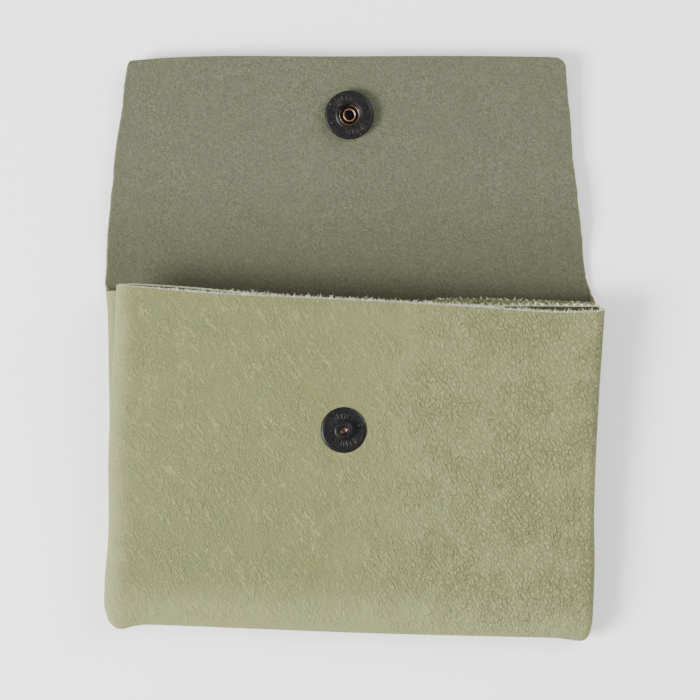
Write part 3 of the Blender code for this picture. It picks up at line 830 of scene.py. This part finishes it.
def edge_fibres(name, outer, inner, spacing, length, material, random, onward, shorter=None):
    """Short loose fibres standing out of a raw edge, given its two rims and its outward directions."""
    middle = (outer + inner) / 2
    gaps = np.linalg.norm(np.diff(middle, axis=0), axis=1)
    travelled = np.concatenate(([0], np.cumsum(gaps)))
    points, faces = [], []
    for place in np.arange(0, travelled[-1], spacing):
        place = min(place + random.uniform(0, spacing), travelled[-1])
        k = min(int(np.searchsorted(travelled, place)), len(middle) - 1)
        share = random.uniform(0.1, 0.9)
        root = outer[k] * share + inner[k] * (1 - share)
        along = middle[min(k + 1, len(middle) - 1)] - middle[max(k - 1, 0)]
        along = along / max(np.linalg.norm(along), 1e-9)
        across = (outer[k] - inner[k]) / max(np.linalg.norm(outer[k] - inner[k]), 1e-9)
        way = onward[k] + along * random.normal(0, 0.6) + across * random.normal(0.1, 0.45)
        way = way / np.linalg.norm(way)
        lean = along * random.normal(0, 0.9) + across * random.normal(0, 0.5)
        size = length * random.uniform(0.35, 1.0) * random.choice([1.0, 1.0, 1.5])
        thick = random.uniform(0.05, 0.1)
        if shorter is not None:
            size = size * shorter[k]
        first = len(points)
        for step, narrow in ((0.0, 1.0), (0.4, 0.85), (0.75, 0.55)):
            spot = root + way * (size * step) + lean * (size * step**2 * 0.5)
            side = np.cross(way, across + 0.3 * along)
            side = side / np.linalg.norm(side)
            other = np.cross(way, side)
            for turn in (0, 1, 2):
                angle = turn * 2 * math.pi / 3
                points.append(spot + (side * math.cos(angle) + other * math.sin(angle)) * thick * narrow)
        points.append(root + way * size + lean * size * 0.5)
        faces.append([first + 2, first + 1, first])
        for ring in (0, 3):
            for turn in (0, 1, 2):
                a, b = first + ring + turn, first + ring + (turn + 1) % 3
                faces.append([a, b, b + 3, a + 3])
        for turn in (0, 1, 2):
            faces.append([first + 6 + turn, first + 6 + (turn + 1) % 3, first + 9])
    return new_object(name, np.array(points), faces, [0] * len(faces), [material])


# ---------------------------------------------------------------- the snap

def lathe(name, profile, materials, kinds, centre, up, steps, marks=None):
    """A round piece from a profile of (radius, height) that is closed or runs from axis to axis.

    marks=(from, to, above) cuts short radial marks between two radii, above a height."""
    profile = np.array(profile, float)
    closed = profile[0, 0] > 0
    turns = np.arange(steps) * 2 * math.pi / steps
    rings = []
    for r, z in profile:
        height = np.full(steps, z)
        if marks and marks[0] < r < marks[1] and z > marks[2]:
            sector = np.floor(turns * MARK_COUNT / (2 * math.pi))
            phase = (turns * MARK_COUNT / (2 * math.pi)) % 1
            wide, shift = scattered(sector, 0 * sector, SEED + 30)
            near, far = scattered(sector, 0 * sector + 1, SEED + 31)
            reach = marks[1] - marks[0]
            cut = np.abs(phase - 0.35 - 0.3 * shift) < 0.1 + 0.12 * wide
            cut &= (r > marks[0] + 0.4 * reach * near) & (r < marks[1] - 0.4 * reach * far)
            height = height - MARK_DEEP * cut
        rings.append(np.stack([r * np.cos(turns), r * np.sin(turns), height], 1))
    points, starts = [], []
    total = 0
    for (r, _), ring in zip(profile, rings):
        starts.append(total)
        if r <= 0:
            points.append(ring[:1])
            total += 1
        else:
            points.append(ring)
            total += steps
    points = np.concatenate(points)
    faces, marks = [], []
    count = len(profile)
    for k in range(count if closed else count - 1):
        m = (k + 1) % count
        for s in range(steps):
            t = (s + 1) % steps
            first = [starts[k] + s, starts[k] + t] if profile[k, 0] > 0 else [starts[k]]
            second = [starts[m] + t, starts[m] + s] if profile[m, 0] > 0 else [starts[m]]
            faces.append(first + second)
            marks.append(kinds[k])
    side = Vector((1, 0, 0))
    up = Vector(up).normalized()
    forward = up.cross(side)
    place = np.array([side, forward, up]).T
    placed = points @ place.T + np.array(centre)
    volume = sum(
        np.dot(placed[f[0]] - placed[0], np.cross(placed[f[i]] - placed[0], placed[f[i + 1]] - placed[0]))
        for f in faces for i in range(1, len(f) - 1)
    )
    if volume < 0:
        faces = [f[::-1] for f in faces]
    return new_object(name, placed, faces, marks, materials)


def flap_point(x, along, above):
    """A point on the open flap, at a distance from the crease along it and above its suede side."""
    y = CREASE_Y + along * math.cos(TILT) - above * math.sin(TILT)
    return (x, y, CREASE_Z + along * math.sin(TILT) + above * math.cos(TILT))


def front_point(x, below, z):
    """A point of the front unit, at a distance below the crease and at a height with the mouth shut."""
    flat = np.array([[x, CREASE_Y - below, z]])
    return tuple(turned_about(flat, np.array(GAPE), HINGE_Y, HINGE_Z, MOUTH_AXIS)[0])


def ride_and_replace(piece, body, node):
    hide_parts(node)
    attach(piece, body)
    return piece


def flap_snap(black, copper, wire):
    centre = flap_point(SNAP_X, SPINE + STUD_BELOW, 0)
    up = (0, -math.sin(TILT), math.cos(TILT))
    socket = [
        (2.2, 1.62), (2.3, 1.78), (2.5, 1.83), (2.62, 1.78), (2.7, 1.70), (2.8, 1.68),
        (2.95, 1.68), (3.1, 1.685), (3.25, 1.69), (3.4, 1.69), (3.55, 1.69), (3.7, 1.69), (3.85, 1.69),
        (4.0, 1.685), (4.15, 1.68), (4.28, 1.67), (4.4, 1.66), (4.5, 1.70), (4.62, 1.72), (4.78, 1.66),
        (4.9, 1.5), (4.95, 1.25), (4.85, 0.7), (4.6, 0.2), (4.4, 0.02), (1.35, 0.02), (1.62, 0.42),
        (2.9, 0.42), (2.9, 0.95),
        (2.95, 1.3), (2.85, 1.45), (2.3, 1.47), (2.2, 1.5),
    ]
    plain = [0] * len(socket)
    made = lathe("snap_socket_ring", socket, [black], plain, centre, up, RING_STEPS, (2.85, 4.3, 1.6))
    ride_and_replace(made, "flap", "snap_socket")
    cap = [
        (0, -1.55), (0.55, -1.57), (0.9, -1.45), (0.95, 0.0), (1.0, 0.4), (1.08, 0.52), (1.2, 0.58),
        (1.32, 0.55), (1.42, 0.45), (1.38, 0.33), (1.15, 0.2), (1.15, -0.95), (5.85, -0.98),
        (6.1, -1.08), (6.2, -1.3), (6.15, -1.6), (5.8, -1.95), (5.2, -2.3), (4.4, -2.62), (3.4, -2.82),
        (2.0, -2.89), (0, -2.9),
    ]
    kinds = [0] * 3 + [1] * 7 + [0] * 12
    made = lathe("snap_cap_with_post", cap, [black, copper], kinds, centre, up, SNAP_STEPS)
    ride_and_replace(made, "flap", "snap_cap")
    curve = bpy.data.curves.new("socket_spring_wire", "CURVE")
    curve.dimensions = "3D"
    curve.bevel_depth = SPRING_WIRE * MM
    curve.bevel_resolution = 4
    curve.use_fill_caps = True
    count = 60
    spline = curve.splines.new("POLY")
    spline.points.add(count - 1)
    side, normal = Vector((1, 0, 0)), Vector(up)
    forward = normal.cross(side)
    for k, point in enumerate(spline.points):
        turn = math.radians(150) + math.radians(300) * k / (count - 1)
        spot = Vector(centre) + side * SPRING * math.cos(turn)
        spot = spot + forward * SPRING * math.sin(turn) + normal * 1.18
        point.co = (*(spot * MM), 1)
    curve.materials.append(wire)
    made = bpy.data.objects.new("socket_spring_wire", curve)
    bpy.context.scene.collection.objects.link(made)
    ride_and_replace(made, "flap", "socket_spring")


def front_snap(black, dimple_shade):
    centre = front_point(SNAP_X, STUD_BELOW, BODY)
    up = (0, -math.sin(GAPE), math.cos(GAPE))
    base = 0.45
    tip = base + 1.4
    stud = [
        (0.95, tip - 0.35), (0.95, tip - 0.12), (1.0, tip - 0.04), (1.1, tip), (1.5, tip),
        (1.68, tip - 0.03), (1.82, tip - 0.13), (1.9, tip - 0.3), (1.84, tip - 0.42),
        (1.66, tip - 0.55), (1.6, base + 0.35),
        (1.7, base + 0.08), (1.9, base + 0.02), (2.1, base), (2.3, base), (2.45, base), (2.6, base),
        (2.75, base), (2.9, base), (3.05, base), (3.2, base), (3.35, base), (3.5, base), (3.65, base),
        (3.8, base), (3.9, base + 0.03), (4.1, base + 0.04), (4.35, base - 0.02), (4.55, base - 0.14),
        (4.65, base - 0.28),
        (4.6, 0.02), (1.3, 0.02), (1.3, tip - 0.5),
    ]
    plain = [0] * len(stud)
    marks = (2.25, 3.75, base - 0.01)
    made = lathe("snap_stud_button", stud, [black], plain, centre, up, RING_STEPS, marks)
    ride_and_replace(made, "front_half", "snap_stud")
    inside = -LEATHER
    # the eyelet, closed by a floor under the nipple's dimple; its dark copper is painted shade in the
    # dimple
    post = [
        (0, tip - 0.9), (0.3, tip - 0.88), (0.62, tip - 0.84), (0.75, tip - 0.7), (0.85, tip - 0.55),
        (1.0, tip - 0.54), (1.15, tip - 0.62), (1.15, inside - 0.02),
        (3.4, inside - 0.02), (3.58, inside - 0.1), (3.6, inside - 0.2), (3.45, inside - 0.32),
        (2.6, inside - 0.38), (1.5, inside - 0.4), (1.0, inside - 0.3), (0.78, inside), (0.7, tip - 1.1),
        (0, tip - 1.1),
    ]
    made = lathe("stud_eyelet", post, [dimple_shade], [0] * len(post), centre, up, SNAP_STEPS)
    ride_and_replace(made, "front_half", "stud_post")


# ---------------------------------------------------------------- floor, light and camera

def studio():
    floor = bpy.data.meshes.new("studio_floor")
    half = 1.2
    corners = [(-half, -half, 0), (half, -half, 0), (half, half, 0), (-half, half, 0)]
    floor.from_pydata(corners, [], [(0, 1, 2, 3)])
    paper = Nodes("floor_paper")
    speck = paper.noise(paper.place(), 0.02, 2.0).outputs["Fac"]
    colour = paper.mix(speck, (0.93, 0.93, 0.925, 1), (0.95, 0.95, 0.945, 1))
    paper.feed(paper.shader.inputs["Base Color"], colour)
    paper.shader.inputs["Roughness"].default_value = 0.9
    floor.materials.append(paper.material)
    made = bpy.data.objects.new("studio_floor", floor)
    made.location.z = -0.00005
    bpy.context.scene.collection.objects.link(made)
    world = bpy.data.worlds.new("studio")
    world.use_nodes = True
    world.node_tree.nodes["Background"].inputs["Color"].default_value = (1, 1, 1, 1)
    world.node_tree.nodes["Background"].inputs["Strength"].default_value = 0.8
    bpy.context.scene.world = world
    lamps = (
        ("key", (-0.68, -0.26, 0.52), 0.42, 23.0),
        ("fill", (0.62, 0.4, 0.55), 0.6, 10.0),
    )
    for name, place, size, power in lamps:
        lamp = bpy.data.lights.new(name, "AREA")
        lamp.size = size
        lamp.energy = power
        made = bpy.data.objects.new(name, lamp)
        made.location = place
        made.rotation_euler = (-Vector(place)).to_track_quat("-Z", "Y").to_euler()
        bpy.context.scene.collection.objects.link(made)
    camera = bpy.data.cameras.new("camera")
    camera.lens = 200
    camera.sensor_width = 36
    camera.clip_start = 0.01
    made = bpy.data.objects.new("camera", camera)
    view_width, view_height = 0.14245, 0.004
    made.location = (-0.00087, -0.00125, view_height + view_width * camera.lens / camera.sensor_width)
    made.rotation_euler = (0, 0, math.radians(1.0))
    bpy.context.scene.collection.objects.link(made)
    bpy.context.scene.camera = made


def main():
    studio()
    edge = raw_edge("raw_edge", EDGE_DARK, EDGE_LIGHT, FIBRE_LIGHT)
    worn_edge = raw_edge("rubbed_edge", RUBBED_DARK, RUBBED_LIGHT, SUEDE_FLECK)
    coats = [grain_leather(), suede_leather(), edge, loose_fibre()]
    black = black_oxide()
    copper = bare_metal("copper_post", (0.5, 0.28, 0.21, 1), (0.2, 0.11, 0.085, 1), 0.24)
    # dark bronze wire: its darkness is painted shade under the socket's lip, so the ring shows only as
    # glints
    wire = bare_metal("spring_bronze", (0.34, 0.25, 0.12, 1), (0.10, 0.07, 0.04, 1), 0.2)
    back_leather([coats[0], coats[1], worn_edge, coats[3]])
    front_leather(coats)
    flap_leather([coats[0], coats[1], worn_edge, coats[1]])
    flap_snap(black, copper, wire)
    # dark copper: painted shade for the dimple at the stud's centre
    dimple_shade = bare_metal("tarnished_copper", (0.11, 0.07, 0.055, 1), (0.045, 0.035, 0.033, 1), 0.3)
    front_snap(black, dimple_shade)


main()
